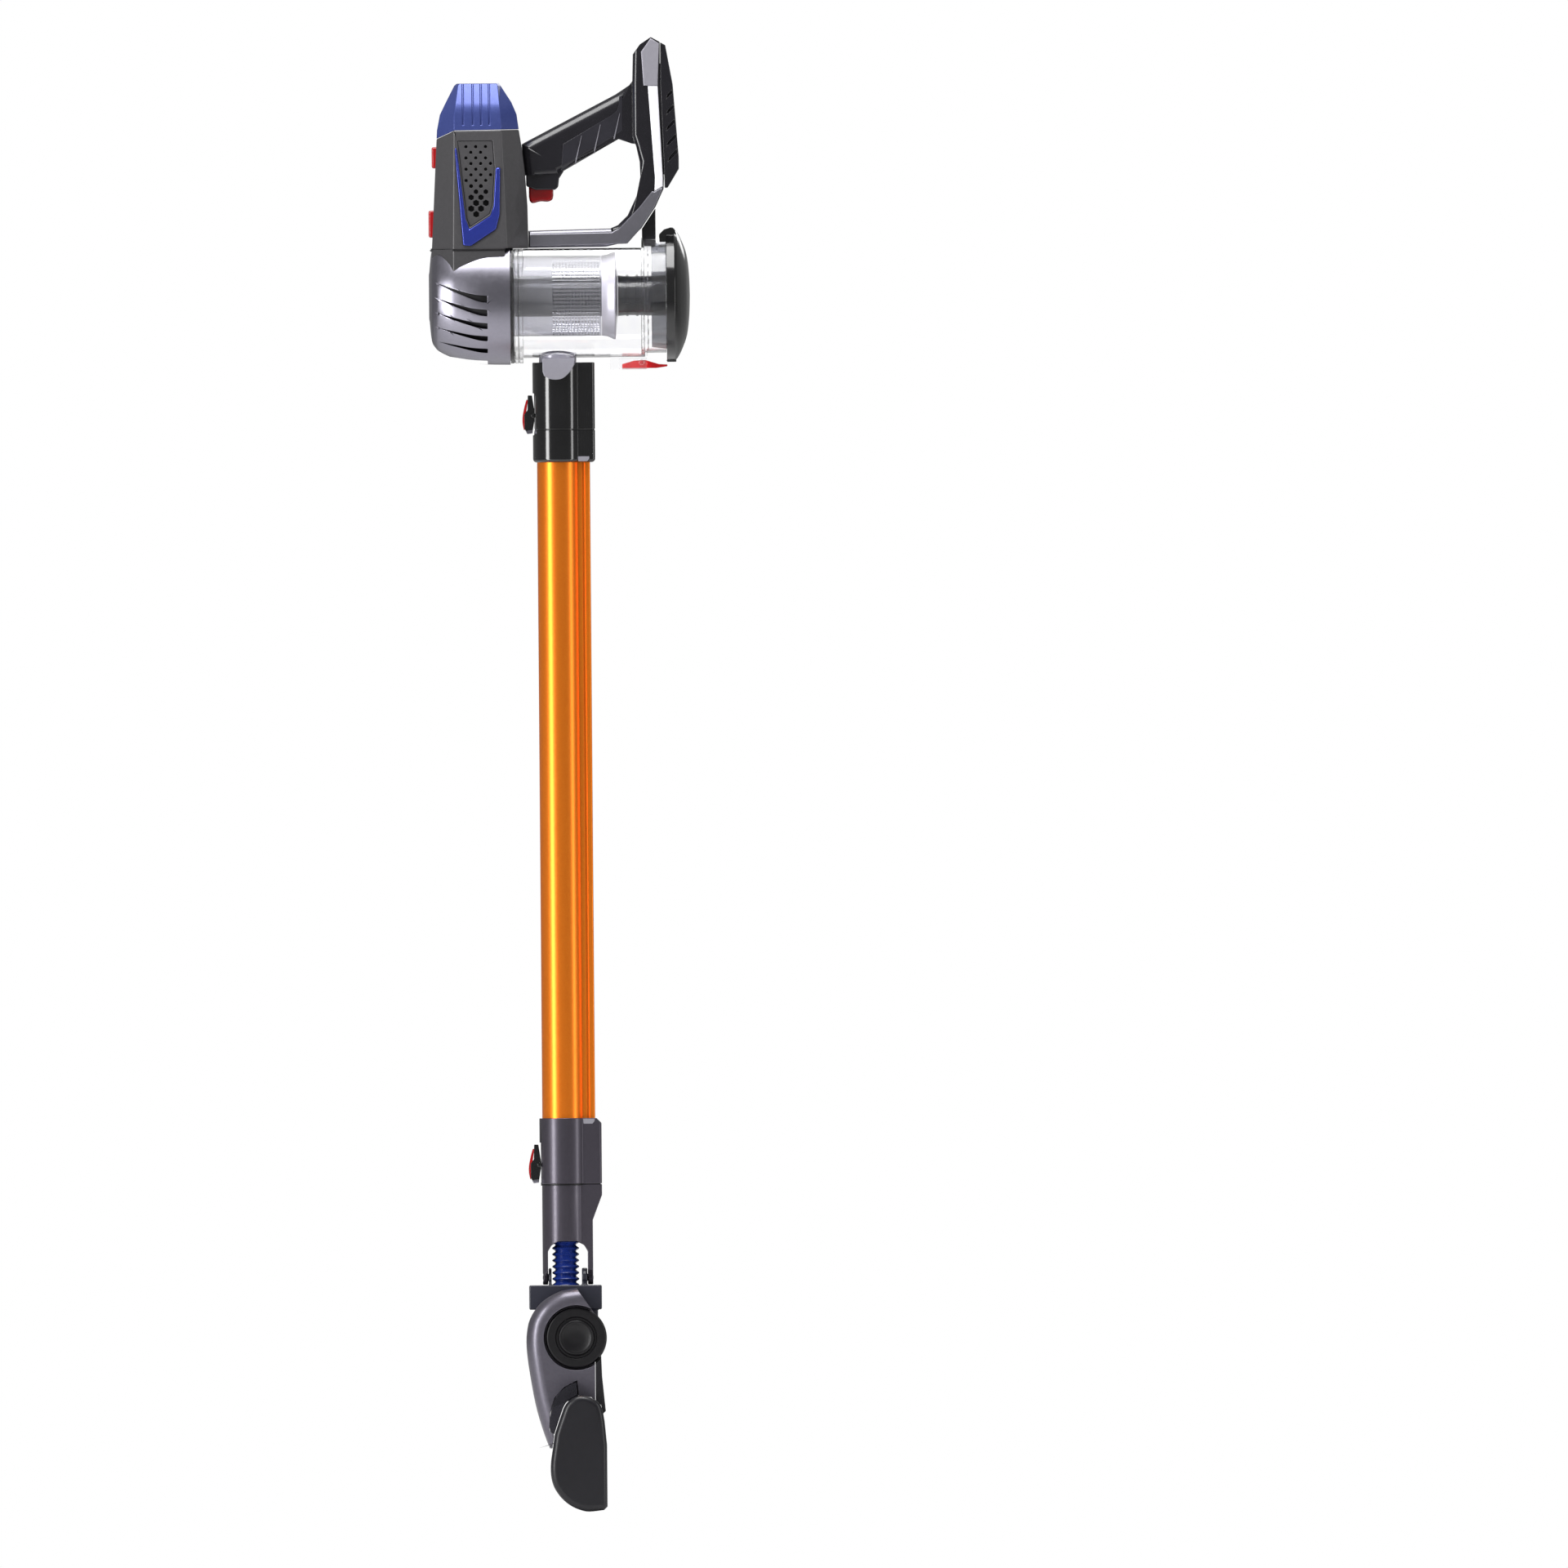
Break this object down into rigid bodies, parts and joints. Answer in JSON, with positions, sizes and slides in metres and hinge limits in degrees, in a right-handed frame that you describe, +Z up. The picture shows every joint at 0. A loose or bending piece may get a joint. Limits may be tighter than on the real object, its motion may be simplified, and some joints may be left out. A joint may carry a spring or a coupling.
{
  "type": "cordless stick vacuum",
  "caption": "Cordless stick vacuum with a motor tower, clear cyclone bin, loop handle, orange tube wand and a pivoting powered floor head.",
  "frame": {"origin": "on the wand's bore, at the height of the head's lowest point", "axes": "+Z up the wand, +X to the back of the handle, Y across the floor head"},
  "size_m": [0.213, 0.25, 1.2034],
  "materials": {
    "housing_grey": "satin metallic grey moulding",
    "black_plastic": "satin black moulding",
    "silver_paint": "silver lacquer",
    "pale_silver": "pale silver lacquer",
    "blue_plastic": "metallic blue moulding",
    "red_plastic": "red moulding",
    "clear_plastic": "clear polycarbonate",
    "smoked_plastic": "smoked polycarbonate",
    "screen_grey": "pale grey moulding",
    "anodised_orange": "orange anodised aluminium",
    "rubber": "soft rubber",
    "steel": "plain steel",
    "filter_felt": "pleated filter felt",
    "circuit_board": "lacquered board"
  },
  "bodies": {
    "cleaner": {"housing_left": "housing_grey", "housing_right": "housing_grey", "vent_grille_left": "black_plastic", "vent_grille_right": "black_plastic", "vent_trim_left": "blue_plastic", "vent_trim_right": "blue_plastic", "cyclone_drum": "silver_paint", "separator_plate": "black_plastic", "bin_gasket": "clear_plastic", "mesh_screen": "screen_grey", "cyclone_cone": "screen_grey", "vortex_tube": "black_plastic", "dust_tube": "black_plastic", "pre_filter": "filter_felt", "motor_can": "steel", "control_board": "circuit_board", "handle_left": "black_plastic", "handle_right": "black_plastic", "handle_trim_left": "pale_silver", "handle_trim_right": "pale_silver", "grip_pad": "rubber", "rear_strut": "black_plastic", "trigger_housing": "black_plastic", "trigger_spring": "steel"},
    "impeller": {"impeller": "screen_grey"},
    "filter_cap": {"filter_cap": "blue_plastic", "exhaust_filter": "filter_felt"},
    "cap_button": {"cap_button": "red_plastic"},
    "bin_button": {"bin_button": "red_plastic"},
    "trigger": {"trigger": "red_plastic"},
    "battery": {"battery_case": "black_plastic", "cell_pack": "circuit_board"},
    "bin": {"dust_bin": "clear_plastic", "inlet_neck": "screen_grey", "door_hinge_pin": "steel"},
    "bin_door": {"bin_door": "black_plastic"},
    "bin_latch": {"bin_latch": "red_plastic"},
    "wand": {"wand_tube": "anodised_orange", "wand_collar": "black_plastic", "conductor_strip": "black_plastic"},
    "wand_latch": {"wand_latch": "silver_paint"},
    "neck": {"neck_socket": "housing_grey", "neck_fork": "housing_grey", "bellows": "blue_plastic"},
    "head_latch": {"head_latch": "silver_paint"},
    "knuckle": {"knuckle": "housing_grey"},
    "head": {"head_cover": "housing_grey", "head_base": "housing_grey", "brush_hood": "black_plastic", "end_cap_left": "black_plastic", "end_cap_right": "black_plastic", "led_lens": "smoked_plastic", "head_axle": "steel", "brush_motor": "steel", "drive_belt": "rubber"},
    "wheel_left": {"wheel_left": "rubber"},
    "wheel_right": {"wheel_right": "rubber"},
    "brush_roll": {"brush_roll": "blue_plastic"},
    "motor_pulley": {"motor_pulley": "steel"}
  },
  "joints": [
    {"name": "impeller_spin", "type": "hinge", "parent": "cleaner", "child": "impeller", "pos_m": [-0.0625, 0, 1.0574], "axis": [0, 0, 1], "continuous": true},
    {"name": "cap_lift", "type": "slide", "parent": "cleaner", "child": "filter_cap", "axis": [0, 0, 1], "range_m": [0, 0.06]},
    {"name": "cap_button_press", "type": "slide", "parent": "cleaner", "child": "cap_button", "axis": [1, 0, 0], "range_m": [0, 0.002], "stiffness_N_per_m": 600},
    {"name": "bin_button_press", "type": "slide", "parent": "cleaner", "child": "bin_button", "axis": [1, 0, 0], "range_m": [0, 0.002], "stiffness_N_per_m": 600},
    {"name": "trigger_pull", "type": "hinge", "parent": "cleaner", "child": "trigger", "pos_m": [-0.0182, 0, 1.0818], "axis": [0, -1, 0], "range_deg": [0, 8], "stiffness_Nm_per_rad": 0.2, "springref_deg": -5.73, "deforming": ["trigger_spring"]},
    {"name": "battery_slide", "type": "slide", "parent": "cleaner", "child": "battery", "axis": [1, 0, 0], "range_m": [0, 0.03]},
    {"name": "bin_slide", "type": "slide", "parent": "cleaner", "child": "bin", "axis": [1, 0, 0], "range_m": [0, 0.14]},
    {"name": "door_swing", "type": "hinge", "parent": "bin", "child": "bin_door", "pos_m": [0.0936, 0, 1.0447], "axis": [0, -1, 0], "range_deg": [0, 95]},
    {"name": "bin_latch_press", "type": "hinge", "parent": "bin", "child": "bin_latch", "pos_m": [0.0686, 0, 0.938], "axis": [0, 1, 0], "range_deg": [0, 8], "stiffness_Nm_per_rad": 0.1, "springref_deg": -5.73},
    {"name": "wand_pull", "type": "slide", "parent": "bin", "child": "wand", "axis": [0, 0, -1], "range_m": [0, 0.045]},
    {"name": "wand_latch_press", "type": "hinge", "parent": "wand", "child": "wand_latch", "pos_m": [-0.0204, 0, 0.8951], "axis": [0, -1, 0], "range_deg": [0, 6], "stiffness_Nm_per_rad": 0.1, "springref_deg": -5.73},
    {"name": "head_pull", "type": "slide", "parent": "wand", "child": "neck", "axis": [0, 0, -1], "range_m": [0, 0.04]},
    {"name": "head_latch_press", "type": "hinge", "parent": "neck", "child": "head_latch", "pos_m": [-0.0201, 0, 0.2835], "axis": [0, -1, 0], "range_deg": [0, 6], "stiffness_Nm_per_rad": 0.1, "springref_deg": -5.73},
    {"name": "neck_lean", "type": "hinge", "parent": "neck", "child": "knuckle", "pos_m": [0.0007, 0, 0.1913], "axis": [1, 0, 0], "range_deg": [-40, 40], "deforming": ["bellows"]},
    {"name": "head_pitch", "type": "hinge", "parent": "knuckle", "child": "head", "pos_m": [0.0088, 0, 0.142], "axis": [0, 1, 0], "range_deg": [0, 90]},
    {"name": "wheel_left_spin", "type": "hinge", "parent": "head", "child": "wheel_left", "pos_m": [0.0088, -0.0615, 0.142], "axis": [0, 1, 0], "continuous": true},
    {"name": "wheel_right_spin", "type": "hinge", "parent": "head", "child": "wheel_right", "pos_m": [0.0088, 0.0615, 0.142], "axis": [0, 1, 0], "continuous": true},
    {"name": "brush_spin", "type": "hinge", "parent": "head", "child": "brush_roll", "pos_m": [0.0123, 0, 0.0266], "axis": [0, 1, 0], "continuous": true},
    {"name": "motor_spin", "type": "hinge", "parent": "head", "child": "motor_pulley", "pos_m": [0.013, 0, 0.07], "axis": [0, 1, 0], "continuous": true}
  ],
  "couplings": [
    {"joint": "motor_spin", "follows": "brush_spin", "ratio": 1.375}
  ]
}
